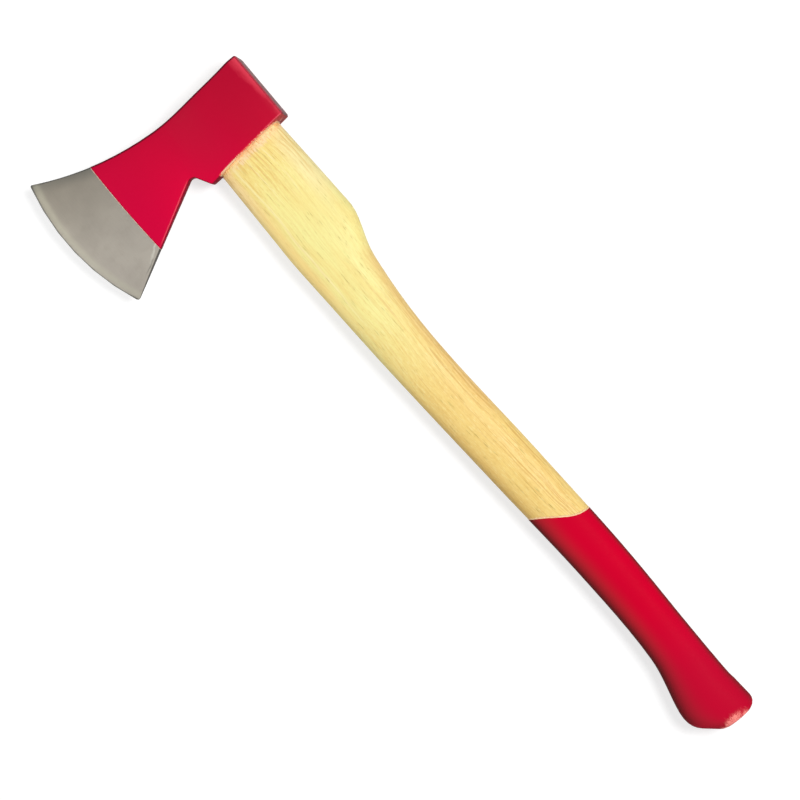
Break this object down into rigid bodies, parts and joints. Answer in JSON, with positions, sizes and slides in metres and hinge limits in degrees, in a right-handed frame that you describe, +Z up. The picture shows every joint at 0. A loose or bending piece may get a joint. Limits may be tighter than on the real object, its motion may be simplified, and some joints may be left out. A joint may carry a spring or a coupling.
{
  "type": "axe",
  "caption": "Long-handled axe with a forged, red-lacquered head, a curved wooden handle wedged in its eye, and a dipped red grip ending in a knob.",
  "frame": {"origin": "middle of the footprint of the axe lying on its side, on the surface it lies on", "axes": "+X along the handle towards the knob, +Y from the cutting edge towards the poll, +Z up, across the head"},
  "size_m": [0.6315, 0.1854, 0.0344],
  "materials": {
    "head_steel": "ground and satin, with fine streaks",
    "head_lacquer": "thin glossy lacquer film",
    "handle_wood": "smooth ash under clear varnish, grain along the handle",
    "grip_lacquer": "thick dipped lacquer, semi-gloss",
    "wedge_wood": "end grain, unvarnished",
    "wedge_steel": "zinc-plated"
  },
  "bodies": {
    "root": {"axe_head": "head_steel", "head_lacquer": "head_lacquer", "handle": "handle_wood", "grip_lacquer": "grip_lacquer", "wood_wedge": "wedge_wood", "ring_wedge": "wedge_steel"}
  },
  "joints": []
}
